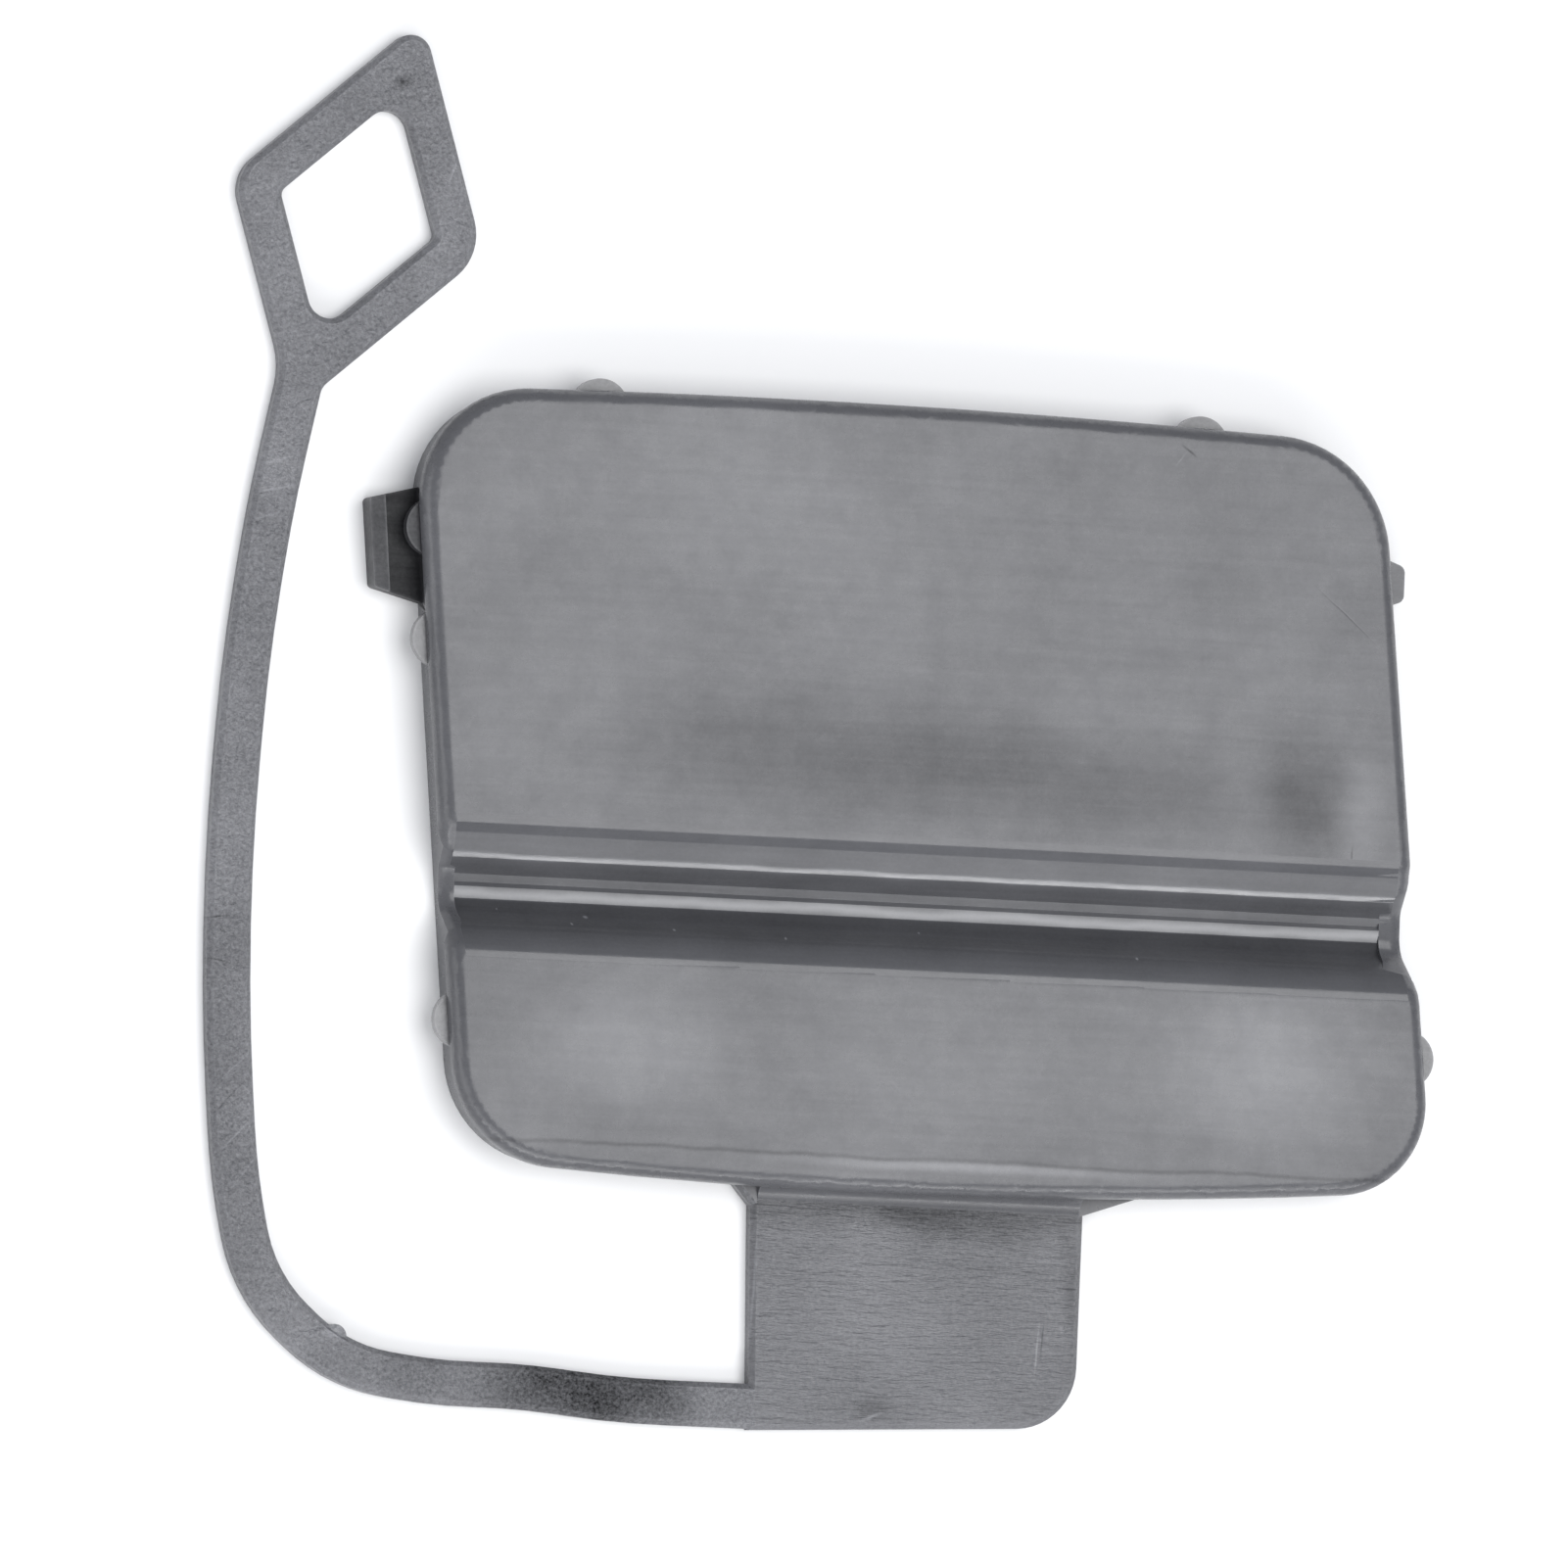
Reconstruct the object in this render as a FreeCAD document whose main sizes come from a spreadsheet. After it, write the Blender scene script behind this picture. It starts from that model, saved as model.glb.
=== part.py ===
import FreeCAD, Part
import math
import os
import Sketcher
from FreeCAD import Vector

# A snap-in cover for the tow hook opening of a bumper, moulded in one piece:
# a slanted plate with a raised lip and a pressed channel across its face, a hollow back
# inside a skirt, locating pips, a hook and a lug on the skirt, and a recessed tab
# that carries a flat strap with a diamond-shaped ring.
# It lies on its back: X runs along the channel, Y up the plate and Z out of its face.

doc = FreeCAD.newDocument("tow_hook_cover")

# Driving dimensions, in millimetres and degrees
DIMENSIONS = {
    "plate_width": 83.3,
    "plate_height": 64.65,
    "left_lean": 5.8,
    "right_lean": 6.4,
    "top_bow": 0.85,
    "top_bow_offset": -7.0,
    "bottom_bow": 1.8,
    "bottom_bow_offset": -2.4,
    "top_left_radius": 9.1,
    "top_right_radius": 10.2,
    "bottom_left_radius": 9.3,
    "bottom_right_radius": 7.6,
    "plate_depth": 5.9,
    "crown_radius": 1200.0,
    "lip_underside": 3.65,
    "lip_overhang": 0.4,
    "lip_edge_radius": 1.36,
    "skirt_wall": 1.6,
    "face_wall": 1.5,
    "rib_thickness": 1.0,
    "rib_spacing": 27.0,
    "rib_base": 1.5,
    "channel_offset": 3.5,
    "channel_level": 1.9,
    "channel_wall": 1.0,
    "roof_corner_radius": 0.6,
    "groove_left_gap": 0.3,
    "groove_right_gap": 1.0,
    "groove_end_radius": 1.2,
    "pip_radius": 2.4,
    "pip_thickness": 1.0,
    "pip_base": 2.4,
    "side_pip_reach": 1.1,
    "top_pip_reach": 1.05,
    "hook_height": 2.4,
    "hook_width": 7.2,
    "hook_root_width": 9.8,
    "hook_reach": 3.8,
    "hook_offset": 18.8,
    "hook_nose": 1.3,
    "hook_step": 0.8,
    "hook_corner_radius": 0.4,
    "lug_width": 2.8,
    "lug_root_width": 5.0,
    "lug_reach": 1.75,
    "lug_height": 2.2,
    "lug_offset": 20.1,
    "lug_corner_radius": 0.7,
    "tab_thickness": 1.6,
    "tab_width": 28.5,
    "tab_drop": 19.8,
    "tab_offset": 1.55,
    "tab_taper": 0.6,
    "tab_slant": 2.6,
    "tab_corner_radius": 5.2,
    "tab_root_radius": 1.7,
    "left_flare_width": 1.7,
    "left_flare_drop": 1.5,
    "right_flare_width": 5.6,
    "right_flare_drop": 1.3,
    "strap_width": 3.7,
    "strap_edge_chamfer": 0.45,
    "ring_lower_side": 20.6,
    "ring_lower_rise": 41.5,
    "ring_upper_side": 19.8,
    "ring_upper_rise": 107.4,
    "ring_overlap": 2.4,
    "ring_rim": 3.5,
    "ring_tip_radius": 1.7,
    "ring_side_radius": 3.4,
    "ring_outer_side_radius": 4.4,
    "outer_neck_radius": 6.5,
    "inner_neck_radius": 1.5,
    "window_tip_radius": 1.9,
    "window_side_radius": 0.8,
    "gate_radius": 1.0,
    "gate_shift": -0.45,
    "gate_rise": 2.35,
    "gate_drop": 0.2,
}

sheet = doc.addObject("Spreadsheet::Sheet", "Dimensions")
for row, (alias, value) in enumerate(DIMENSIONS.items(), start=1):
    sheet.set(f"A{row}", alias)
    sheet.set(f"B{row}", str(value))
    sheet.setAlias(f"B{row}", alias)
doc.recompute()


def size(alias):
    """The value of one cell of the sheet."""
    return float(sheet.get(alias))


# Middle line of the strap down the plate's left side: (height as a share of half the plate's
# height, distance from the plate's left end)
STRAP_BESIDE = [
    (0.976, 12.0),
    (0.666, 13.95),
    (0.279, 15.5),
    (-0.186, 16.25),
    (-0.62, 15.95),
    (-1.038, 14.65),
    (-1.304, 12.55),
]

# Its middle line below the plate: (distance from the tab's left side, height above the tab's foot)
STRAP_BELOW = [
    (34.35, 3.82),
    (25.95, 2.7),
    (18.95, 2.8),
    (10.4, 1.95),
    (-1.6, 1.95),
]

# Corners of the channel across the face: (distance below its upper brow, share of its depth, radius)
CHANNEL = [
    (0.0, 0.0, 2.0),
    (2.35, 0.31, 1.6),
    (3.95, 0.78, 1.5),
    (6.75, 1.0, 1.5),
    (8.8, 0.34, 1.6),
    (10.0, 0.08, 1.5),
    (11.1, 0.0, 1.5),
]

# Corners of the fine grooves and ridges along the channel's floor, in the same terms
GROOVES = [
    (2.9, 0.42, 0.0),
    (4.0, 0.795, 0.0),
    (4.5, 0.815, 0.0),
    (4.65, 0.9, 0.0),
    (5.0, 0.9, 0.0),
    (5.15, 0.845, 0.0),
    (5.95, 0.985, 0.3),
    (7.15, 1.04, 0.4),
    (8.7, 0.32, 0.0),
]

# Heights of the pips on the plate's left and right, and places of those on its top, as shares
# of half its height or width
LEFT_PIPS = (0.626, 0.347, -0.61)
RIGHT_PIPS = (-0.594,)
TOP_PIPS = (-0.692, 0.543)

# How much of its shorter run each bend of the strap takes up, how far cuts run past,
# and how little the normal of a face rises for the face to count as upright
BEND_SHARE = 0.48
CUT_MARGIN = 3.0
UPRIGHT_RISE = 0.2


def plane(body, role):
    """One of the body's own origin planes."""
    return next(item for item in body.Origin.OriginFeatures if item.Role == role)


def new_body(name, label):
    body = doc.addObject("PartDesign::Body", name)
    body.Label = label
    return body


def new_sketch(body, name, role="XY_Plane", height=None):
    """A sketch on an origin plane, lifted by a length from the sheet where one is given."""
    sketch = body.newObject("Sketcher::SketchObject", name)
    sketch.AttachmentSupport = [(plane(body, role), "")]
    sketch.MapMode = "FlatFace"
    if height:
        sketch.setExpression("AttachmentOffset.Base.z", height)
    return sketch


def feature(body, kind, name, sketch, **lengths):
    """A sketch-based feature whose lengths are expressions on the sheet."""
    item = body.newObject("PartDesign::" + kind, name)
    item.Profile = (sketch, [""])
    for name_of_length, expression in lengths.items():
        item.setExpression(name_of_length, expression)
    return item


def dress_edges(body, kind, name, picked, **lengths):
    """A fillet or a chamfer on the picked edges of the body's newest shape."""
    doc.recompute()
    base = body.Tip
    chosen = [f"Edge{i}" for i, edge in enumerate(base.Shape.Edges, start=1) if picked(base.Shape, edge)]
    item = body.newObject("PartDesign::" + kind, name)
    item.Base = (base, chosen)
    for name_of_length, expression in lengths.items():
        item.setExpression(name_of_length, expression)
    doc.recompute()
    return item


def draw_outline(sketch, corners):
    """A closed outline from (x, y, radius) corners, with a tangent arc at each radius."""
    count = len(corners)
    stops = []
    for i, (x, y, radius) in enumerate(corners):
        here = Vector(x, y, 0)
        before = Vector(*corners[i - 1][:2], 0) - here
        after = Vector(*corners[(i + 1) % count][:2], 0) - here
        if radius <= 0:
            stops.append((here, here, here))
            continue
        half = before.getAngle(after) / 2
        reach = radius / math.tan(half)
        inward = (before.normalize() + after.normalize()).normalize()
        middle = here + inward * (radius / math.sin(half) - radius)
        stops.append((here + before * reach, middle, here + after * reach))
    for i, (start, middle, end) in enumerate(stops):
        if not start.isEqual(end, 1e-9):
            sketch.addGeometry(Part.Arc(start, middle, end), False)
        following = stops[(i + 1) % count][0]
        if not end.isEqual(following, 1e-6):
            sketch.addGeometry(Part.LineSegment(end, following), False)


# The plate's four sides

def left_side(y, inset=0.0):
    lean = math.radians(size("left_lean"))
    return -size("plate_width") / 2 - y * math.tan(lean) + inset / math.cos(lean)


def right_side(y, inset=0.0):
    lean = math.radians(size("right_lean"))
    return size("plate_width") / 2 - y * math.tan(lean) - inset / math.cos(lean)


def bow_radius(bow):
    half = size("plate_width") / 2
    return (half**2 + bow**2) / (2 * bow)


def bow_centre(end):
    """Middle of the large circle that the plate's top or bottom runs along."""
    height = size("plate_height") / 2 - bow_radius(size(end + "_bow"))
    return Vector(size(end + "_bow_offset"), height if end == "top" else -height, 0)


def top_side(x, inset=0.0):
    centre = bow_centre("top")
    return centre.y + math.sqrt((bow_radius(size("top_bow")) - inset) ** 2 - (x - centre.x) ** 2)


def bottom_side(x, inset=0.0):
    centre = bow_centre("bottom")
    return centre.y - math.sqrt((bow_radius(size("bottom_bow")) - inset) ** 2 - (x - centre.x) ** 2)


def meeting(side_at, end_at, inset):
    """Where a slanted side and a bowed one cross, found by stepping between them."""
    y = end_at(0.0, inset)
    for _ in range(30):
        x = side_at(y, inset)
        y = end_at(x, inset)
    return Vector(x, y, 0)


def plate_corner(side, end, inset):
    """The rounded corner's end on the slanted side, its middle and its end on the bowed side."""
    side_at = left_side if side == "left" else right_side
    end_at = top_side if end == "top" else bottom_side
    lean = math.radians(size(side + "_lean"))
    outward = Vector(math.cos(lean), math.sin(lean), 0) * (-1 if side == "left" else 1)
    radius = size(f"{end}_{side}_radius") - inset
    centre = meeting(side_at, end_at, inset + radius)
    endward = (centre - bow_centre(end)).normalize()
    middle = centre + (outward + endward).normalize() * radius
    return centre + outward * radius, middle, centre + endward * radius


def draw_plate_outline(sketch, inset):
    """Two slanted straight sides and a bowed top and bottom, with rounded corners."""
    top_left = plate_corner("left", "top", inset)
    top_right = plate_corner("right", "top", inset)
    bottom_right = plate_corner("right", "bottom", inset)
    bottom_left = plate_corner("left", "bottom", inset)
    for side_end, middle, bow_end in (top_left, top_right, bottom_right, bottom_left):
        sketch.addGeometry(Part.Arc(side_end, middle, bow_end), False)
    sketch.addGeometry(Part.LineSegment(bottom_left[0], top_left[0]), False)
    sketch.addGeometry(Part.LineSegment(top_right[0], bottom_right[0]), False)
    sketch.addGeometry(Part.Arc(top_left[2], Vector(0, top_side(0.0, inset), 0), top_right[2]), False)
    sketch.addGeometry(Part.Arc(bottom_right[2], Vector(0, bottom_side(0.0, inset), 0), bottom_left[2]), False)


# The face: nearly flat, crowned about an axis far behind it, with a channel pressed across it

def channel_line(shares):
    """Corners (y, z, radius) along the channel, from its upper brow downwards."""
    top, depth = size("plate_depth"), size("plate_depth") - size("channel_level")
    return [(-size("channel_offset") - away, top - share * depth, radius) for away, share, radius in shares]


def beyond_plate():
    return size("plate_height") / 2 + CUT_MARGIN


def face_line():
    """Corners of the face seen along X, past the plate at both ends."""
    top = size("plate_depth")
    return [(beyond_plate(), top, 0)] + channel_line(CHANNEL) + [(-beyond_plate(), top, 0)]


def roof_line():
    """The underside of the face: the channel's main corners moved back by the wall's thickness."""
    brow, upper_foot, lower_foot, lower_brow = (channel_line(CHANNEL)[i] for i in (0, 2, 3, -1))
    corners = [face_line()[0], brow, upper_foot, lower_foot, lower_brow, face_line()[-1]]
    points = [Vector(y, z, 0) for y, z, radius in corners]
    walls = [size("face_wall")] * 2 + [size("channel_wall")] + [size("face_wall")] * 2
    headings = [direction(start, end) for start, end in zip(points, points[1:])]
    moved = [point + left_of(heading) * wall for point, heading, wall in zip(points, headings, walls)]
    line = [(moved[0].x, moved[0].y, 0)]
    for i in range(1, len(moved)):
        place = crossing(moved[i - 1], headings[i - 1], moved[i], headings[i])
        line.append((place.x, place.y, size("roof_corner_radius")))
    return line + [(-beyond_plate(), moved[-1].y, 0)]


def sweep_line(body, name, line, limit):
    """Cuts away all between a line across the plate and a level, around the axis the face is crowned about."""
    sketch = new_sketch(body, name + "Profile", "YZ_Plane")
    draw_outline(sketch, [(line[0][0], limit, 0)] + line + [(line[-1][0], limit, 0)])
    centre = size("plate_depth") - size("crown_radius")
    sketch.addGeometry(Part.LineSegment(Vector(-1, centre, 0), Vector(1, centre, 0)), True)
    half_width = size("plate_width") / 2 + 2 * CUT_MARGIN
    item = body.newObject("PartDesign::Groove", name)
    item.Profile = (sketch, [""])
    item.ReferenceAxis = (sketch, ["Axis0"])
    item.Midplane = True
    item.Angle = 2 * math.degrees(math.asin(half_width / size("crown_radius")))
    doc.recompute()
    return item


def is_front_edge(shape, edge):
    """An edge where the face meets the upright side of the lip."""
    rises = []
    for item in shape.ancestorsOfType(edge, Part.Face):
        u, v = item.Surface.parameter(edge.CenterOfMass)
        rises.append(item.normalAt(u, v).z)
    return len(rises) == 2 and abs(min(rises)) < UPRIGHT_RISE < max(rises)


# Outlines in the plane of the tab and the strap

def direction(start, end):
    return (end - start).normalize()


def left_of(heading):
    return Vector(-heading.y, heading.x, 0)


def crossing(point_a, heading_a, point_b, heading_b):
    """Where two lines in the plane cross."""
    apart = point_b - point_a
    across = heading_a.x * heading_b.y - heading_a.y * heading_b.x
    return point_a + heading_a * ((apart.x * heading_b.y - apart.y * heading_b.x) / across)


def inset_corners(points, inset, radii):
    """A closed outline moved inwards, for corners listed clockwise."""
    corners = []
    for i, here in enumerate(points):
        into = direction(points[i - 1], here)
        out = direction(here, points[(i + 1) % len(points)])
        into_line = here - left_of(into) * inset
        out_line = here - left_of(out) * inset
        place = crossing(into_line, into, out_line, out)
        corners.append((place.x, place.y, radii[i]))
    return corners


def strap_route():
    """The strap's middle line, from inside the ring's lowest corner down to the tab."""
    half_width, half_height = size("plate_width") / 2, size("plate_height") / 2
    beside = [Vector(-half_width - away, share * half_height, 0) for share, away in STRAP_BESIDE]
    foot = bottom_side(0.0) - size("tab_drop")
    below = [Vector(tab_left() - away, foot + above, 0) for away, above in STRAP_BELOW]
    return beside + below


def strap_side(offset):
    """One long side of the strap: its middle line moved to the left, each bend one large arc."""
    points = strap_route()
    corners = []
    for i, here in enumerate(points):
        into = direction(points[max(i - 1, 0)], points[max(i, 1)])
        out = direction(points[min(i, len(points) - 2)], points[min(i + 1, len(points) - 1)])
        half_turn = into.getAngle(out) / 2
        side = (left_of(into) + left_of(out)).normalize()
        place = here + side * (offset / math.cos(half_turn))
        radius = 0.0
        if half_turn > 1e-6:
            run = min((here - points[i - 1]).Length, (points[i + 1] - here).Length)
            turns_left = into.x * out.y - into.y * out.x > 0
            radius = BEND_SHARE * run / math.tan(half_turn) + (-offset if turns_left else offset)
        corners.append((place.x, place.y, radius))
    return corners


def ring_corners():
    """The ring's sharp corners, clockwise from the left one; its lowest lies on the strap's line."""
    route = strap_route()
    lower_rise, upper_rise = math.radians(size("ring_lower_rise")), math.radians(size("ring_upper_rise"))
    lower = Vector(math.cos(lower_rise), math.sin(lower_rise), 0) * size("ring_lower_side")
    upper = Vector(math.cos(upper_rise), math.sin(upper_rise), 0) * size("ring_upper_side")
    bottom = route[0] + direction(route[0], route[1]) * size("ring_overlap")
    return [bottom + upper, bottom + upper + lower, bottom + lower, bottom]


def draw_strap(sketch):
    """The strap and the ring's outside as one outline, and the ring's window inside it."""
    half = size("strap_width") / 2
    outer, inner = strap_side(-half), strap_side(half)
    left, top, right, bottom = ring_corners()
    first = direction(*strap_route()[:2])
    outer_neck = crossing(Vector(*outer[0][:2], 0), first, bottom, direction(bottom, left))
    inner_neck = crossing(Vector(*inner[0][:2], 0), first, bottom, direction(bottom, right))
    ring = [
        (outer_neck.x, outer_neck.y, size("outer_neck_radius")),
        (left.x, left.y, size("ring_side_radius")),
        (top.x, top.y, size("ring_tip_radius")),
        (right.x, right.y, size("ring_outer_side_radius")),
        (inner_neck.x, inner_neck.y, size("inner_neck_radius")),
    ]
    draw_outline(sketch, outer[:0:-1] + ring + inner[1:])
    radii = [size("window_side_radius"), size("window_tip_radius")] * 2
    draw_outline(sketch, inset_corners([left, top, right, bottom], size("ring_rim"), radii))


def tab_left():
    return size("tab_offset") - size("tab_width") / 2


def tab_right():
    return size("tab_offset") + size("tab_width") / 2


def draw_tab(sketch):
    """The tab below the plate, flared where it runs into the skirt."""
    left, right = tab_left(), tab_right()
    foot = bottom_side(0.0) - size("tab_drop")
    rise = size("tab_width") * math.tan(math.radians(size("tab_slant")))
    flare_left = left - size("left_flare_width")
    flare_right = right + size("right_flare_width")
    wall = size("lip_overhang")
    inside = wall + size("skirt_wall") / 2
    draw_outline(sketch, [
        (flare_left, bottom_side(flare_left, inside), 0),
        (flare_left, bottom_side(flare_left, wall), 0),
        (left, bottom_side(left) - size("left_flare_drop"), 0),
        (left + size("tab_taper"), foot, 0),
        (right, foot + rise, size("tab_corner_radius")),
        (right, bottom_side(right) - size("right_flare_drop"), 0),
        (flare_right, bottom_side(flare_right, wall), 0),
        (flare_right, bottom_side(flare_right, inside), 0),
    ])


def is_tab_or_strap_edge(shape, edge):
    """An upper edge of the tab, the strap or the ring, clear of the plate."""
    box = edge.BoundBox
    place = edge.CenterOfMass
    level = abs(box.ZMin - size("tab_thickness")) < 1e-6 and box.ZLength < 1e-6
    past_hook = place.x < left_side(place.y) - size("hook_reach") - size("side_pip_reach")
    return level and (past_hook or abs(place.y) > size("plate_height") / 2)


def draw_root(sketch):
    """The hollow curve from the tab's front up to the skirt, seen along X."""
    wall = bottom_side(0.0, size("lip_overhang"))
    inside = wall + size("skirt_wall") / 2
    front = size("tab_thickness")
    radius = size("tab_root_radius")
    middle = Vector(wall - radius, front + radius, 0) + Vector(1, -1, 0).normalize() * radius
    sketch.addGeometry(Part.Arc(Vector(wall - radius, front, 0), middle, Vector(wall, front + radius, 0)), False)
    around = [(wall, front + radius), (inside, front + radius), (inside, front / 2),
              (wall - radius, front / 2), (wall - radius, front)]
    for start, end in zip(around, around[1:]):
        sketch.addGeometry(Part.LineSegment(Vector(*start, 0), Vector(*end, 0)), False)


# Small features around the skirt

def draw_disc(sketch, x, y, radius):
    sketch.addGeometry(Part.Circle(Vector(x, y, 0), Vector(0, 0, 1), size(radius)), False)
    sketch.addConstraint(Sketcher.Constraint("Radius", sketch.GeometryCount - 1, size(radius)))
    sketch.setExpression(f"Constraints[{sketch.ConstraintCount - 1}]", "Dimensions." + radius)


def draw_gate(sketch):
    """The mark where the mould was fed, on the inner side of the strap's tight bend."""
    bend = strap_route()[len(STRAP_BESIDE)]
    draw_disc(sketch, bend.x + size("gate_shift"), bend.y + size("gate_rise"), "gate_radius")


def draw_pips(sketch):
    """Discs let into the skirt so that a low half moon stands out from each."""
    half_width, half_height = size("plate_width") / 2, size("plate_height") / 2
    sunk = size("pip_radius") - size("side_pip_reach")
    for share in LEFT_PIPS:
        draw_disc(sketch, left_side(share * half_height) + sunk, share * half_height, "pip_radius")
    for share in RIGHT_PIPS:
        draw_disc(sketch, right_side(share * half_height) - sunk, share * half_height, "pip_radius")
    for share in TOP_PIPS:
        top = top_side(share * half_width) - size("pip_radius") + size("top_pip_reach")
        draw_disc(sketch, share * half_width, top, "pip_radius")


def draw_hook(sketch, length):
    """The hook's plan, narrowing outwards; length is how much of it is drawn, from its tip."""
    centre = size("hook_offset")
    half = size("hook_width") / 2
    upper_tip = left_side(centre + half) - size("hook_reach")
    lower_tip = left_side(centre - half) - size("hook_reach")
    full = size("hook_reach") + size("lip_overhang") + size("skirt_wall") / 2
    flare = (size("hook_root_width") - size("hook_width")) / 2 * length / full
    draw_outline(sketch, [
        (lower_tip, centre - half, size("hook_corner_radius")),
        (upper_tip, centre + half, size("hook_corner_radius")),
        (upper_tip + length, centre + half + flare, 0),
        (lower_tip + length, centre - half - flare, 0),
    ])


def draw_lug(sketch):
    centre = size("lug_offset")
    tip = right_side(centre) + size("lug_reach")
    root = right_side(centre) - size("lip_overhang") - size("skirt_wall") / 2
    half, half_root = size("lug_width") / 2, size("lug_root_width") / 2
    draw_outline(sketch, [
        (root, centre + half_root, 0),
        (tip, centre + half, size("lug_corner_radius")),
        (tip, centre - half, size("lug_corner_radius")),
        (root, centre - half_root, 0),
    ])


def draw_groove_field(sketch):
    """Where the channel's floor has its grooves: a long field that ends short of the lip."""
    upper, lower = (channel_line(GROOVES)[i][0] for i in (0, -1))
    short = size("lip_edge_radius")
    left, right = short + size("groove_left_gap"), short + size("groove_right_gap")
    radius = size("groove_end_radius")
    draw_outline(sketch, [
        (left_side(upper, left), upper, radius),
        (right_side(upper, right), upper, radius),
        (right_side(lower, right), lower, radius),
        (left_side(lower, left), lower, radius),
    ])


def make_hollow():
    """The space behind the face, inside the skirt."""
    body = new_body("HollowCore", "hollow_core")
    sketch = new_sketch(body, "HollowOutline")
    draw_plate_outline(sketch, size("lip_overhang") + size("skirt_wall"))
    feature(body, "Pad", "HollowBlock", sketch, Length="Dimensions.plate_depth + Dimensions.face_wall")
    sweep_line(body, "HollowRoof", roof_line(), size("plate_depth") + CUT_MARGIN)
    ribs = new_sketch(body, "RibLines", height="Dimensions.rib_base")
    for side in (-1, 1):
        middle = side * size("rib_spacing") / 2
        half, far = size("rib_thickness") / 2, size("plate_height")
        draw_outline(ribs, [(middle - half, -far, 0), (middle + half, -far, 0),
                            (middle + half, far, 0), (middle - half, far, 0)])
    slits = feature(body, "Pocket", "RibSlits", ribs, Length="Dimensions.plate_depth")
    slits.Reversed = True
    return body


def make_groove_cutter():
    """What the grooves in the channel's floor take away."""
    body = new_body("GrooveCutter", "groove_cutter")
    sketch = new_sketch(body, "GrooveField")
    draw_groove_field(sketch)
    feature(body, "Pad", "GrooveBlock", sketch, Length="Dimensions.plate_depth + Dimensions.face_wall")
    line = channel_line(GROOVES)
    top = size("plate_depth")
    sweep_line(body, "GrooveFloors", [(beyond_plate(), top, 0)] + line + [(-beyond_plate(), top, 0)], -CUT_MARGIN)
    return body


def cut_with(body, name, tool):
    item = body.newObject("PartDesign::Boolean", name)
    item.Type = "Cut"
    item.Group = [tool]
    doc.recompute()
    return item


def make_cover():
    body = new_body("TowHookCover", "tow_hook_cover")

    plate = new_sketch(body, "PlateOutline")
    draw_plate_outline(plate, 0.0)
    stock = feature(body, "Pad", "Plate", plate, Length="Dimensions.plate_depth + Dimensions.face_wall",
                    Length2="Dimensions.lip_edge_radius")
    stock.SideType = "Two sides"
    sweep_line(body, "Face", face_line(), size("plate_depth") + CUT_MARGIN)
    dress_edges(body, "Fillet", "LipEdge", is_front_edge, Radius="Dimensions.lip_edge_radius")

    under_lip = new_sketch(body, "UnderLip")
    draw_plate_outline(under_lip, size("lip_overhang"))
    far = size("plate_width")
    draw_outline(under_lip, [(-far, -far, 0), (far, -far, 0), (far, far, 0), (-far, far, 0)])
    step = feature(body, "Pocket", "LipStep", under_lip, Length="Dimensions.lip_underside")
    step.Reversed = True
    back = new_sketch(body, "BackPlane")
    draw_outline(back, [(-far, -far, 0), (far, -far, 0), (far, far, 0), (-far, far, 0)])
    feature(body, "Pocket", "Back", back, Length="Dimensions.plate_depth")

    pips = new_sketch(body, "PipDiscs", height="Dimensions.pip_base")
    draw_pips(pips)
    feature(body, "Pad", "Pips", pips, Length="Dimensions.pip_thickness")

    hook = new_sketch(body, "HookPlan")
    full_hook = size("hook_reach") + size("lip_overhang") + size("skirt_wall") / 2
    draw_hook(hook, full_hook)
    feature(body, "Pad", "Hook", hook, Length="Dimensions.hook_height - Dimensions.hook_step")
    nose = new_sketch(body, "HookNosePlan")
    draw_hook(nose, size("hook_nose"))
    feature(body, "Pad", "HookNose", nose, Length="Dimensions.hook_height")

    lug = new_sketch(body, "LugPlan")
    draw_lug(lug)
    feature(body, "Pad", "Lug", lug, Length="Dimensions.lug_height")

    strap = new_sketch(body, "StrapAndRing")
    draw_strap(strap)
    feature(body, "Pad", "Strap", strap, Length="Dimensions.tab_thickness")
    tab = new_sketch(body, "TabOutline")
    draw_tab(tab)
    feature(body, "Pad", "Tab", tab, Length="Dimensions.tab_thickness")
    dress_edges(body, "Chamfer", "StrapEdge", is_tab_or_strap_edge, Size="Dimensions.strap_edge_chamfer")

    gate = new_sketch(body, "GateMark")
    draw_gate(gate)
    feature(body, "Pad", "Gate", gate, Length="Dimensions.tab_thickness - Dimensions.gate_drop")

    root = new_sketch(body, "TabRootProfile", "YZ_Plane", height="Dimensions.tab_offset")
    draw_root(root)
    curve = feature(body, "Pad", "TabRoot", root, Length="Dimensions.tab_width - 2 * Dimensions.strap_edge_chamfer")
    curve.Midplane = True

    cut_with(body, "HollowBack", make_hollow())
    cut_with(body, "ChannelGrooves", make_groove_cutter())
    return body


cover = make_cover()
doc.recompute()
box = cover.Shape.optimalBoundingBox()
cover.Placement.Base = Vector(-box.Center.x, -box.Center.y, 0)
doc.recompute()
for item in doc.Objects:
    if "Invalid" in item.State or "Error" in item.State:
        raise RuntimeError(f"{item.Name} failed: {item.State}")
if cover.Shape.isNull() or not cover.Shape.isValid() or len(cover.Shape.Solids) != 1:
    raise RuntimeError("the cover is not one valid solid")
print(cover.Label, round(cover.Shape.Volume), "mm3", box)
os.makedirs("parts", exist_ok=True)
cover.Shape.exportStep("parts/" + cover.Label + ".step")
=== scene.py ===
import math

import bmesh
import bpy
from mathutils import Matrix, Vector


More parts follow.
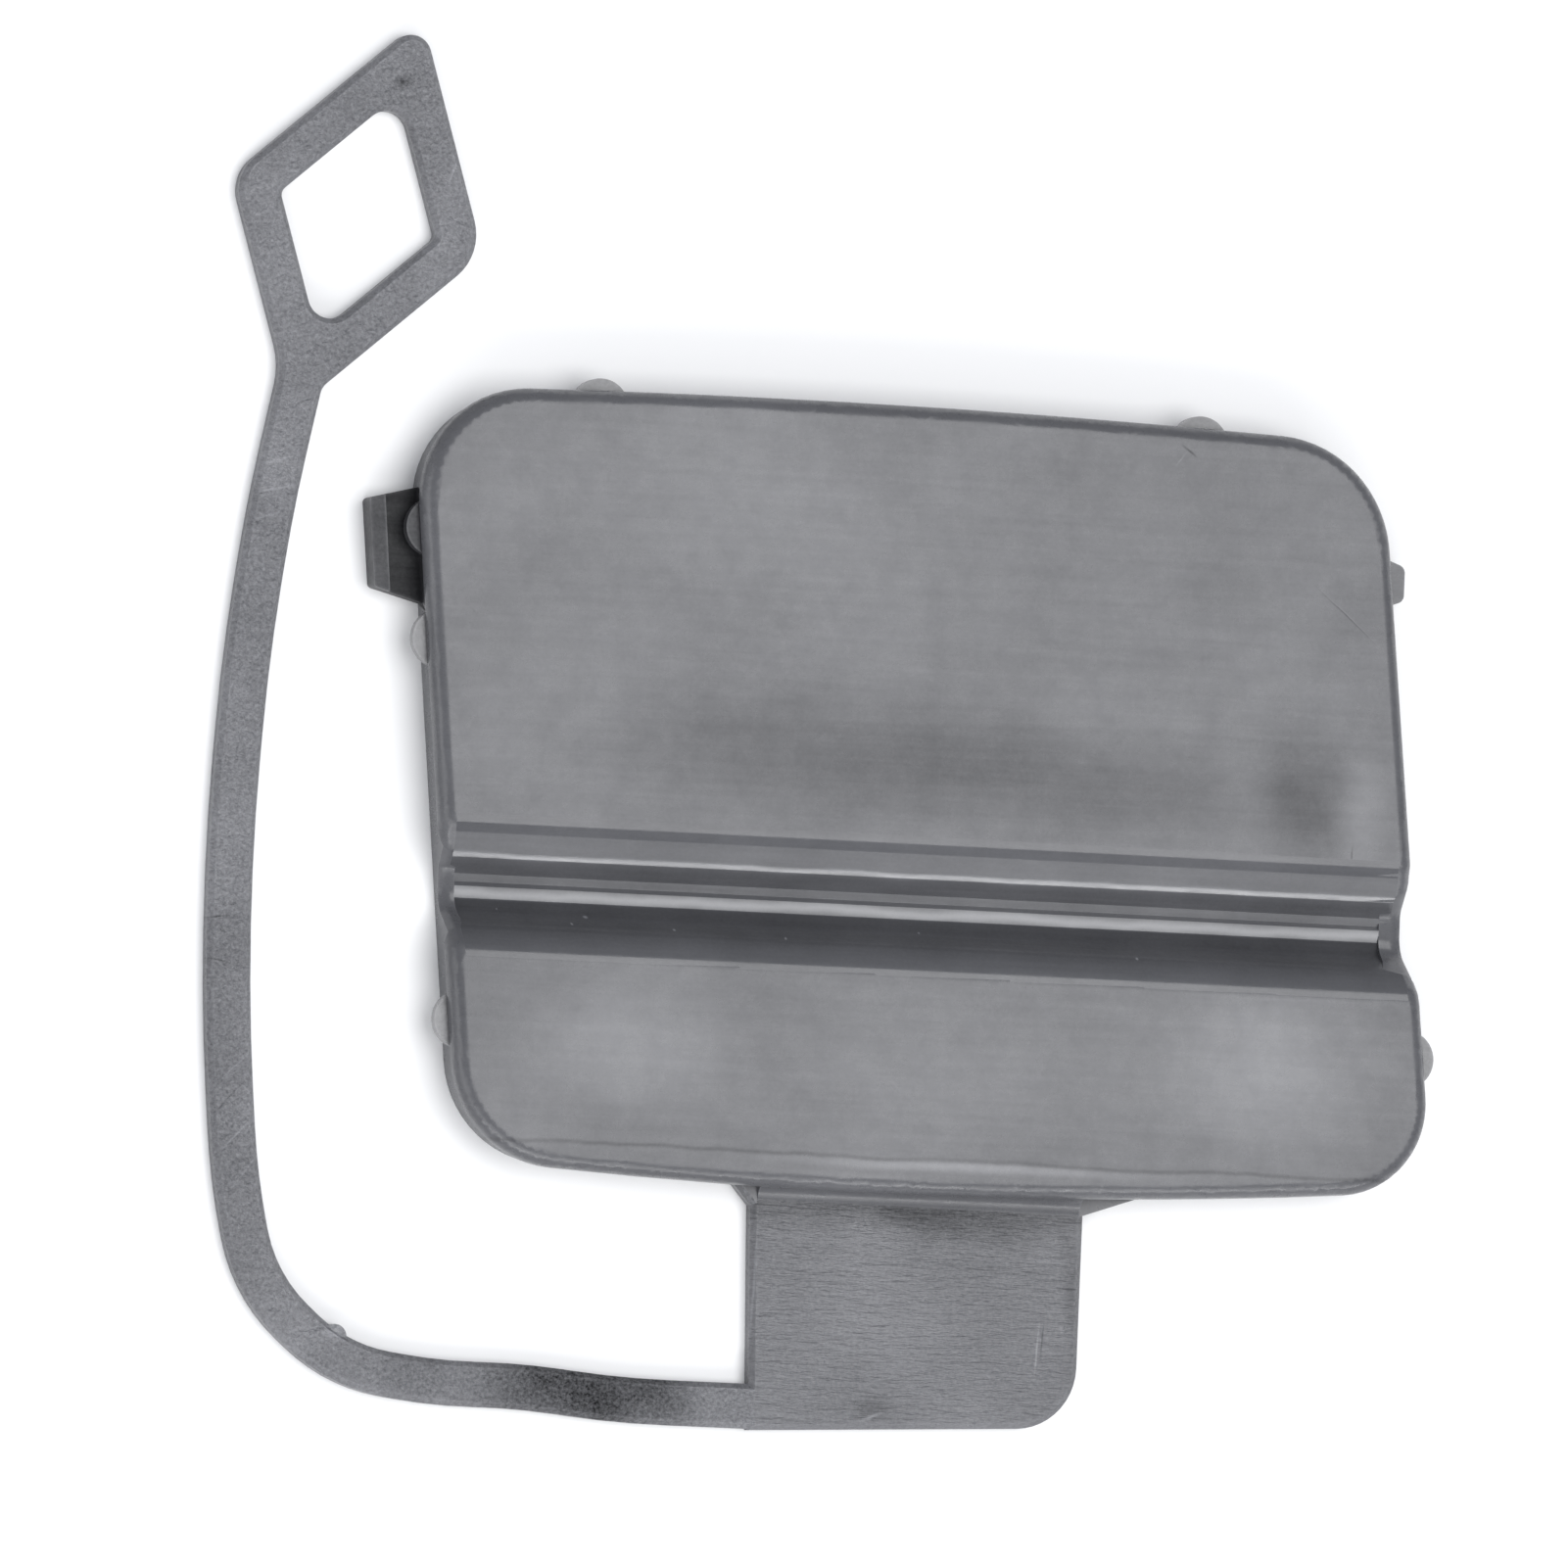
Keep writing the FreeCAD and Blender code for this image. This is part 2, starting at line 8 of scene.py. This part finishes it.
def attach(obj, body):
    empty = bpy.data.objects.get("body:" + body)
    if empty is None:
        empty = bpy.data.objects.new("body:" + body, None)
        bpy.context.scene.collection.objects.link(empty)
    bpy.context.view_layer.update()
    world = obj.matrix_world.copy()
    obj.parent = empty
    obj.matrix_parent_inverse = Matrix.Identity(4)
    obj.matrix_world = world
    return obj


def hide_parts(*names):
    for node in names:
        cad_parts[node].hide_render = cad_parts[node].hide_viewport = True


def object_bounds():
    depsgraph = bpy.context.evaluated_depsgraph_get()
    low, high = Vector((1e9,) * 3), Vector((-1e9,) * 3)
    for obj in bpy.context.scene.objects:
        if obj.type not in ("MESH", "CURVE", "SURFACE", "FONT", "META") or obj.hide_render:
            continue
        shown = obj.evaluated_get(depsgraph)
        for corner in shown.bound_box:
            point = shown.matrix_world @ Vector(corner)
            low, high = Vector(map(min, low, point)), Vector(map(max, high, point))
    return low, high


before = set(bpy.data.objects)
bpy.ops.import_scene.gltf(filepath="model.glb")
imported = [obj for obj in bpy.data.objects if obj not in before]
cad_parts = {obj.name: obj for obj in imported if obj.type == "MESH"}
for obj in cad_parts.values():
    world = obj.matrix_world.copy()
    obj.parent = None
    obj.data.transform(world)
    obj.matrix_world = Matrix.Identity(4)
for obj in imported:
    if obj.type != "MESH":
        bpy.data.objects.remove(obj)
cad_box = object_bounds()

# A tow hook cover lying on its back on a pale floor, seen from nearly straight above. It is one
# moulded plastic, whose gloss, tone and fine relief change from place to place: a smooth face
# and channel with painted reflections, highlights and shade, a grainy strap, wrinkles on the tab
# with painted shade at its root, a hook darkened with painted shade, a nose with lighter painted
# shade and worn edges, and pale pips.

scene = bpy.context.scene
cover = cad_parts["tow_hook_cover"]
MM = 0.001


# Camera and studio, in metres and watts

PHOTO_WIDTH_PX = 1601
PX_PER_MM = 12.435
ORIGIN_PX = Vector((844.6, 763.2))
LEAN_SIDE = math.radians(16.35)
LEAN_DOWN = math.radians(1.88)
ROLL = math.radians(2.43)
DISTANCE = 1.6
CLIP_END = 10
SENSOR_WIDTH_MM = 36
SKY = (0.9, 0.93, 1.0, 1)
SKY_STRENGTH = 0.44
FLOOR = (0.93, 0.93, 0.93, 1)
FLOOR_HALF = 1.5
FLOOR_GAP = 0.00002
LIGHTS = [  # name, place, size, power
    ("soft_overhead", (0.35, 0.05, 1.2), (1.1, 1.0), 12.0),
    ("soft_front", (0.0, -0.79, 0.66), (1.6, 0.24), 2.3),
    ("front_strip", (0.0, -0.93, 0.45), (1.6, 0.14), 5.0),
    ("soft_left", (-1.0, -0.2, 0.4), (1.2, 0.5), 3.2),
]


def to_row(v):
    """From the photograph's upright frame to the row's, which is rolled a little in it."""
    across = Vector((math.cos(ROLL), -math.sin(ROLL), 0))
    up = Vector((math.sin(ROLL), math.cos(ROLL), 0))
    return Vector((v.dot(across), v.dot(up), v.z))


def add_camera():
    toward = Vector((-math.tan(LEAN_SIDE), -math.tan(LEAN_DOWN), 1)).normalized()
    right = Vector((0, 1, 0)).cross(toward).normalized()
    up = toward.cross(right)
    toward, right, up = to_row(toward), to_row(right), to_row(up)
    px = MM / PX_PER_MM
    middle = PHOTO_WIDTH_PX / 2
    aim = right * ((middle - ORIGIN_PX.x) * px) + up * ((ORIGIN_PX.y - middle) * px)
    camera = bpy.data.objects.new("camera", bpy.data.cameras.new("camera"))
    camera.data.sensor_width = SENSOR_WIDTH_MM
    camera.data.lens = SENSOR_WIDTH_MM * DISTANCE / (PHOTO_WIDTH_PX * px)
    camera.data.clip_end = CLIP_END
    axes = Matrix((right, up, toward)).transposed()
    camera.matrix_world = Matrix.Translation(aim + toward * DISTANCE) @ axes.to_4x4()
    scene.collection.objects.link(camera)
    scene.camera = camera


def add_light(name, place, size, power):
    """A rectangular lamp that faces the cover."""
    lamp = bpy.data.lights.new(name, "AREA")
    lamp.shape = "RECTANGLE"
    lamp.size, lamp.size_y = size
    lamp.energy = power
    holder = bpy.data.objects.new(name, lamp)
    holder.location = place
    holder.rotation_euler = (-Vector(place)).to_track_quat("-Z", "Y").to_euler()
    scene.collection.objects.link(holder)


class Nodes:
    """Shorthand for building a node tree."""

    def __init__(self, tree):
        self.tree = tree

    def add(self, kind, inputs=None, **settings):
        node = self.tree.nodes.new("ShaderNode" + kind)
        for name, value in settings.items():
            setattr(node, name, value)
        for name, value in (inputs or {}).items():
            if isinstance(value, bpy.types.NodeSocket):
                self.tree.links.new(value, node.inputs[name])
            else:
                node.inputs[name].default_value = value
        return node


def empty_nodes(owner):
    """The node tree of a new world or material, with nothing in it yet."""
    owner.use_nodes = True
    owner.node_tree.nodes.clear()
    return Nodes(owner.node_tree)


def add_world():
    scene.world = bpy.data.worlds.new("studio")
    n = empty_nodes(scene.world)
    sky = n.add("Background", {"Color": SKY, "Strength": SKY_STRENGTH})
    n.add("OutputWorld", {"Surface": sky.outputs[0]})


def add_floor():
    mesh = bpy.data.meshes.new("floor")
    level = cad_box[0][2] - FLOOR_GAP
    signs = [(-1, -1), (1, -1), (1, 1), (-1, 1)]
    corners = [(x * FLOOR_HALF, y * FLOOR_HALF, level) for x, y in signs]
    mesh.from_pydata(corners, [], [(0, 1, 2, 3)])
    floor = bpy.data.objects.new("floor", mesh)
    scene.collection.objects.link(floor)
    material = bpy.data.materials.new("floor")
    n = empty_nodes(material)
    matte = n.add("BsdfDiffuse", {"Color": FLOOR})
    n.add("OutputMaterial", {"Surface": matte.outputs[0]})
    mesh.materials.append(material)


add_camera()
add_world()
add_floor()
for light in LIGHTS:
    add_light(*light)


# The cover's skin, in millimetres of the part's own plan, which the frame shows moved by SHIFT

SHIFT = Vector((7.37, -4.15))
WELD = 1e-7  # metres
SMOOTH_ANGLE = math.radians(30)

# The face's ends: x where y is 0, and how far x falls as y rises
LEFT_END, LEFT_LEAN = -41.65, math.tan(math.radians(5.8))
RIGHT_END, RIGHT_LEAN = 41.65, math.tan(math.radians(6.4))

# The hook, around its middle y and from the face's left end. Its nose is what stands out most.
HOOK_MIDDLE, HOOK_HALF = 18.8, 5.2
HOOK_OUT, HOOK_IN = 6, 0.5
HOOK_CEILING = 3.45
NOSE_OUT, NOSE_LEVEL = 2.4, 2.45

PIPS = [(-42.9, 11.2), (-39.7, -19.7), (43.8, -19.2), (-28.8, 32.0), (22.6, 31.8)]
PIP_REACH = 3.2
PIP_LOW, PIP_HIGH = 2.35, 3.45

# The strap lies left of the face, above it and below it, where the tab goes on from its end
STRAP_CEILING = 1.65
STRAP_LEFT_X = -46
STRAP_UPPER_Y = 34
STRAP_LOWER_Y = -33
STRAP_END_X = -12.8
TAB_Y = -33.3
TAB_CEILING = 3.5

FACE, STRAP, TAB, HOOK, NOSE, PIP, CHANNEL = range(7)


def region(centre):
    """Which finish a face has outside the channel, from its middle."""
    x, y, z = centre.x / MM - SHIFT.x, centre.y / MM - SHIFT.y, centre.z / MM
    left = LEFT_END - y * LEFT_LEAN
    near_hook = abs(y - HOOK_MIDDLE) < HOOK_HALF and left - HOOK_OUT < x < left + HOOK_IN
    # The hook and its nose take finishes darkened with painted shade
    if near_hook and z < HOOK_CEILING:
        return NOSE if x < left - NOSE_OUT or z > NOSE_LEVEL else HOOK
    if PIP_LOW < z < PIP_HIGH:
        if min(math.hypot(x - a, y - b) for a, b in PIPS) < PIP_REACH:
            return PIP
    if z < STRAP_CEILING:
        if x < STRAP_LEFT_X or y > STRAP_UPPER_Y or (y < STRAP_LOWER_Y and x < STRAP_END_X):
            return STRAP
        if y < STRAP_LOWER_Y:
            return TAB
    return TAB if y < TAB_Y and z < TAB_CEILING else FACE


# The channel's upper brow, in the frame's plan: y at its right end, and its fall to the left
BROW_Y = -7.4
BROW_RIGHT_X = 48.0
BROW_SLANT = 0.002

CROWN = 1200.0  # radius of the face from side to side
LEFT_GAP, RIGHT_GAP = 1.66, 2.36  # from the face's ends
CHANNEL_START = -0.7  # below the brow
CHANNEL_LEAST_Z = 1.2
CHANNEL_LEAST_FACING = 0.15

# Tilt of the channel's grooves and ridges: how far below the brow, and degrees towards the foot
TILTS = [
    (0.0, 0), (0.4, 16), (0.95, 17), (1.15, 24), (2.6, 25), (2.7, 31), (3.05, 32), (3.2, 50),
    (4.35, 48), (4.45, 24), (5.0, 24), (5.05, -25), (5.35, -25), (5.45, 3), (6.3, 8),
    (6.45, -50), (8.4, -46), (9.0, -38), (10.4, -20), (11.2, 0),
]


def below_brow(place):
    return BROW_Y - place.y / MM - BROW_SLANT * (BROW_RIGHT_X - place.x / MM)


def in_channel(face):
    """Whether a face lies on the channel's front, clear of the lip at both ends."""
    centre = face.calc_center_median()
    x, y = centre.x / MM - SHIFT.x, centre.y / MM - SHIFT.y
    left = LEFT_END - y * LEFT_LEAN + LEFT_GAP
    right = RIGHT_END - y * RIGHT_LEAN - RIGHT_GAP
    inside = left < x < right and CHANNEL_START < below_brow(centre) < TILTS[-1][0]
    return inside and centre.z / MM > CHANNEL_LEAST_Z and face.normal.z > CHANNEL_LEAST_FACING


def cut_channel(bm):
    """Cuts the channel's long thin faces along each line where its tilt changes."""
    for away, _ in TILTS:
        faces = [face for face in bm.faces if in_channel(face)]
        edges = {edge for face in faces for edge in face.edges}
        verts = {vert for face in faces for vert in face.verts}
        bmesh.ops.bisect_plane(
            bm, geom=[*verts, *edges, *faces], dist=WELD,
            plane_co=(BROW_RIGHT_X * MM, (BROW_Y - away) * MM, 0), plane_no=(-BROW_SLANT, 1, 0),
        )


def channel_tilt(away):
    """The tilt so far below the brow, between those listed, in degrees."""
    if away <= 0:
        return 0.0
    for (start, low), (end, high) in zip(TILTS, TILTS[1:]):
        if away <= end:
            return low + (high - low) * (away - start) / (end - start)
    return TILTS[-1][1]


def channel_normal(place):
    """The front's direction at a place in the channel."""
    tilt = math.radians(channel_tilt(below_brow(place)))
    lean = math.asin(place.x / MM / CROWN)
    flat = math.cos(tilt)
    return Vector((math.sin(lean) * flat, -math.sin(tilt), math.cos(lean) * flat))


def smooth_normal(vert, face):
    """The area-weighted mean of the faces around a corner that lie within a small angle."""
    total = Vector()
    for other in vert.link_faces:
        if other.normal.angle(face.normal, math.pi) < SMOOTH_ANGLE:
            total += other.normal * other.calc_area()
    return total.normalized() if total.length > 0 else Vector((0, 0, 1))


def clean_skin(node):
    """The cover's own mesh again, with normals in which long thin triangles don't show."""
    bm = bmesh.new()
    bm.from_mesh(node.data)
    bmesh.ops.remove_doubles(bm, verts=bm.verts, dist=WELD)
    cut_channel(bm)
    normals = []
    for face in bm.faces:
        grooved = in_channel(face)
        for corner in face.loops:
            vert = corner.vert
            normals.append(channel_normal(vert.co) if grooved else smooth_normal(vert, face))
        face.smooth = True
        face.material_index = CHANNEL if grooved else region(face.calc_center_median())
    mesh = bpy.data.meshes.new("cover_skin")
    bm.to_mesh(mesh)
    bm.free()
    mesh.normals_split_custom_set(normals)
    skin = bpy.data.objects.new("cover_skin", mesh)
    scene.collection.objects.link(skin)
    return skin


# Moulded plastic, in millimetres, with each noise's scale per millimetre

PLASTIC = (0.085, 0.086, 0.093)
PALE_PLASTIC = (0.2, 0.2, 0.205)
GLOSS = 0.5
IOR = 1.5
SHOWN = (0.3, 0.7)  # the values of a noise between which it shows
DRIFT_SCALE = 0.16
PATCH_DRIFT, THIN_MARK_DRIFT = 3.5, 0.8
CLOUD_SCALE = 0.09
STREAK_SCALE = (0.05, 1.6, 1.0)
GRAIN_SCALE = 3.2
EDGE_RADIUS = 0.35
EDGE_TURN = (0.995, 0.85)  # cosine of an edge's turn where wear starts, and where it is full
WEAR_SCALE, WEAR_SHOWN, WEAR_LEAST = 0.7, (0.35, 0.65), 0.2
LEVEL_LEAST = 0.05
ROUGH_SCALE, ROUGH_BELOW, ROUGH_ABOVE = 0.5, 0.06, 0.08
FAR = 1e6  # a reach that makes a patch endless


def patch(n, mm, x, y, reach_x, reach_y, turn, amount):
    """A soft elliptic patch around a place: amount in its middle, 0 outside."""
    local = n.add("Mapping", {
        "Vector": mm, "Location": (x, y, 0), "Rotation": (0, 0, math.radians(turn)),
        "Scale": (reach_x, reach_y, FAR),
    }, vector_type="TEXTURE")
    away = n.add("VectorMath", {0: local.outputs[0]}, operation="LENGTH")
    return n.add("MapRange", {
        "Value": away.outputs["Value"],
        "From Min": 1.0, "From Max": 0.0, "To Min": 0.0, "To Max": amount,
    }, interpolation_type="SMOOTHSTEP").outputs[0]


def noise(n, vector, scale, detail=3.0, roughness=0.6):
    return n.add("TexNoise", {
        "Vector": vector, "Scale": scale, "Detail": detail, "Roughness": roughness,
    }).outputs[0]


def spread(n, value, low, high, out_low, out_high):
    return n.add("MapRange", {
        "Value": value, "From Min": low, "From Max": high, "To Min": out_low, "To Max": out_high,
    }).outputs[0]


def calc(n, operation, a, b):
    return n.add("Math", {0: a, 1: b}, operation=operation).outputs[0]


def stray(n, mm, offset, reach):
    """Places moved by the offset times a reach, so that outlines waver."""
    moved = n.add("VectorMath", {0: offset, "Scale": reach}, operation="SCALE").outputs[0]
    return n.add("VectorMath", {0: mm, 1: moved}, operation="ADD").outputs[0]


def make_plastic(name, roughness, tone=PLASTIC, level=1.0, cloud=0.1, streak=0.05, grain=0.06,
                 relief=0.05, relief_scale=(1.6, 1.6), wear=0.2, patches=(), scratches_and_painted_lines=()):
    """One finish of the moulding. The level of its tone and gloss drifts with clouds, faint
    streaks and fine grain, and changes at patches, scratches and worn edges. Some patches
    and thin marks are painted reflections, painted highlights and painted shade."""
    material = bpy.data.materials.new(name)
    n = empty_nodes(material)
    place = n.add("TexCoord").outputs["Object"]
    mm = n.add("VectorMath", {0: place, "Scale": 1 / MM}, operation="SCALE").outputs[0]
    drift = n.add("TexNoise", {"Vector": mm, "Scale": DRIFT_SCALE, "Detail": 2.0}).outputs["Color"]
    offset = n.add("VectorMath", {0: drift, 1: (0.5, 0.5, 0.5)}, operation="SUBTRACT").outputs[0]

    clouds = spread(n, noise(n, mm, CLOUD_SCALE, 4.0), *SHOWN, -cloud, cloud)
    along = n.add("Mapping", {"Vector": mm, "Scale": STREAK_SCALE}).outputs[0]
    streaks = spread(n, noise(n, along, 1.0, 4.0, 0.7), *SHOWN, -streak, streak)
    specks = spread(n, noise(n, mm, GRAIN_SCALE, 3.0, 0.75), *SHOWN, -grain, grain)
    total = calc(n, "ADD", calc(n, "ADD", clouds, streaks), specks)
    total = calc(n, "ADD", total, level)
    # Patches and thin marks, among them painted reflections, painted highlights and painted shade
    for marks, reach in ((patches, PATCH_DRIFT), (scratches_and_painted_lines, THIN_MARK_DRIFT)):
        moved = stray(n, mm, offset, reach)
        for mark in marks:
            total = calc(n, "ADD", total, patch(n, moved, *mark))

    rounded = n.add("Bevel", {"Radius": EDGE_RADIUS * MM}, samples=4).outputs[0]
    normal = n.add("NewGeometry").outputs["Normal"]
    turned = n.add("VectorMath", {0: rounded, 1: normal}, operation="DOT_PRODUCT").outputs["Value"]
    edges = spread(n, turned, *EDGE_TURN, 0.0, 1.0)
    rubbed = spread(n, noise(n, mm, WEAR_SCALE), *WEAR_SHOWN, WEAR_LEAST, wear)
    total = calc(n, "ADD", total, calc(n, "MULTIPLY", edges, rubbed))
    total = calc(n, "MAXIMUM", total, LEVEL_LEAST)

    colour = n.add("VectorMath", {0: tone, "Scale": total}, operation="SCALE").outputs[0]
    shine = calc(n, "MULTIPLY", total, GLOSS)
    rough = spread(n, noise(n, mm, ROUGH_SCALE, 5.0, 0.7), *SHOWN,
                   roughness - ROUGH_BELOW, roughness + ROUGH_ABOVE)
    fine = n.add("Mapping", {"Vector": mm, "Scale": (*relief_scale, 1.0)}).outputs[0]
    bump = n.add("Bump", {
        "Height": noise(n, fine, 1.0, 4.0, 0.65), "Strength": 1.0, "Distance": relief * MM,
    }).outputs[0]
    plastic = n.add("BsdfPrincipled", {
        "Base Color": colour, "Roughness": rough, "Specular IOR Level": shine, "Normal": bump,
        "IOR": IOR,
    })
    n.add("OutputMaterial", {"Surface": plastic.outputs[0]})
    return material


# Marks, in the frame's plan: x, y, reach along, reach across, turn in degrees, amount

# Lighter and darker patches on the face: painted reflections
FACE_PAINTED_REFLECTIONS = [
    (-12, 20, 26, 12, 0, 0.16),
    (10, -1.5, 44, 7.5, -3, -0.32),
    (39.0, -1.8, 6.0, 9.0, 20, -0.38),
    (44.5, -4, 3, 9, 5, 0.25),
    (-22, 2, 10, 14, 0, 0.06),
    (-17, -26, 14, 7, 0, 0.34),
    (37.5, -25, 13, 9, 0, 0.42),
    (10, -26, 20, 6, 0, 0.10),
]
FACE_SCRATCHES = [
    (12, -34.05, 22, 0.7, 0, 0.5),
    (28.3, 25.7, 1.25, 0.14, -35, -0.5),
    (27.6, 25.0, 0.9, 0.1, 55, 0.35),
    (42.6, 12.8, 4.6, 0.12, -41, -0.45),
    (42.8, 12.7, 4.4, 0.1, -41, 0.35),
    (43.9, -6.9, 1.4, 0.1, 88, -0.5),
    (0, -33.6, FAR, 0.3, 0, -0.25),
]
CHANNEL_PAINTED_LIGHT_AND_SPECKS = [
    # Painted highlights along the bright line and the ridge, painted shade along the wall and the
    # lower band; then pale specks
    (48, -10.3, FAR, 0.35, 0.11, 0.5),
    (48, -13.3, FAR, 0.65, 0.11, 0.75),
    (48, -11.2, FAR, 0.9, 0.11, -0.2),
    (48, -15.6, FAR, 2.4, 0.11, -0.22),
    (-20.5, -15.0, 0.3, 0.2, 0, 1.6),
    (-22.0, -15.6, 0.16, 0.16, 0, 1.4),
    (-13.4, -15.8, 0.18, 0.14, 0, 1.4),
    (-4.0, -16.0, 0.16, 0.16, 0, 1.4),
    (8.0, -14.9, 0.14, 0.14, 0, 1.2),
    (26.0, -16.3, 0.2, 0.16, 0, 1.5),
    (-28.0, -14.6, 0.14, 0.14, 0, 1.2),
]
STRAP_PATCHES = [
    (-22.5, -52.9, 8, 8, 0, -0.85),
    (-15.0, -53.4, 8, 8, 0, -0.85),
    (-48, 20, 3, 7, 20, 0.3),
    (-43.5, -49.5, 5, 4, 0, 0.25),
    (-50.8, -18, 4, 5, 0, -0.2),
    (-34.5, 40, 3.5, 12, -18, 0.2),
]
STRAP_SCRATCHES = [
    (-40.2, -49.8, 1.2, 1.0, 0, 0.8),
    (-38.7, 52.4, 1.3, 0.9, 20, -0.6),
    (-49.0, -34.0, 3.5, 0.14, 50, 0.5),
    (-49.8, -31.0, 3.0, 0.12, 48, -0.45),
    (-48.2, -37.0, 3.0, 0.14, 52, 0.4),
    (-49.4, -28.5, 2.5, 0.12, 45, 0.4),
    (-51.6, -16.5, 1.6, 0.14, 8, -0.6),
    (-51.4, -20.0, 1.6, 0.14, -12, -0.6),
    (-48.0, 21.0, 2.0, 0.2, 15, 0.7),
    (-48.2, 18.6, 2.0, 0.16, 12, 0.6),
    (-48.5, 16.4, 1.8, 0.16, 18, 0.5),
    (-34.2, 45.3, 1.6, 0.14, 75, 0.6),
]
TAB_PATCHES = [
    # The first patch is painted shade along the tab's root, under the plate's lip
    (8.5, -37.3, 30, 3.4, 0, -0.62),
    (22.6, -45, 1.6, 10, 2, -0.30),
    (6, -47, 10, 6, 0, 0.10),
    (5.7, -54.6, 2.6, 1.6, 0, -0.3),
]
TAB_SCRATCHES = [
    (19.5, -48.7, 3.0, 0.13, 88, 0.7),
    (19.9, -47.9, 2.2, 0.1, 88, -0.5),
    (-4.9, -45.0, 6.0, 0.16, 88, 0.6),
    (5.5, -54.9, 1.5, 0.25, 20, 0.8),
]

skin = clean_skin(cover)
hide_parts("tow_hook_cover")
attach(skin, "root")
for made in (  # in the order of FACE, STRAP, TAB, HOOK, NOSE, PIP and CHANNEL
    make_plastic("satin_face", 0.28, level=1.03, relief=0.006, relief_scale=(2.6, 3.4),
                 patches=FACE_PAINTED_REFLECTIONS, scratches_and_painted_lines=FACE_SCRATCHES),
    make_plastic("grainy_strap", 0.34, level=1.42, cloud=0.25, grain=0.45, relief=0.34,
                 relief_scale=(1.4, 1.4), wear=0.5, patches=STRAP_PATCHES,
                 scratches_and_painted_lines=STRAP_SCRATCHES),
    make_plastic("wrinkled_tab", 0.32, level=1.3, cloud=0.12, grain=0.22, relief=0.26,
                 relief_scale=(0.4, 2.4), wear=0.4, patches=TAB_PATCHES, scratches_and_painted_lines=TAB_SCRATCHES),
    # The hook's low level is painted shade under the plate; its nose has lighter painted shade and
    # worn edges
    make_plastic("hook_painted_shade", 0.4, level=0.27, cloud=0.05, grain=0.04, wear=0.25),
    make_plastic("nose_lighter_painted_shade", 0.4, level=0.5, grain=0.08, wear=0.4),
    make_plastic("pale_pips", 0.3, tone=PALE_PLASTIC, grain=0.08),
    make_plastic("smooth_channel", 0.15, grain=0.05, relief=0.002, relief_scale=(2.6, 3.4),
                 wear=0.0, scratches_and_painted_lines=CHANNEL_PAINTED_LIGHT_AND_SPECKS),
):
    skin.data.materials.append(made)

scene.view_settings.view_transform = "Standard"
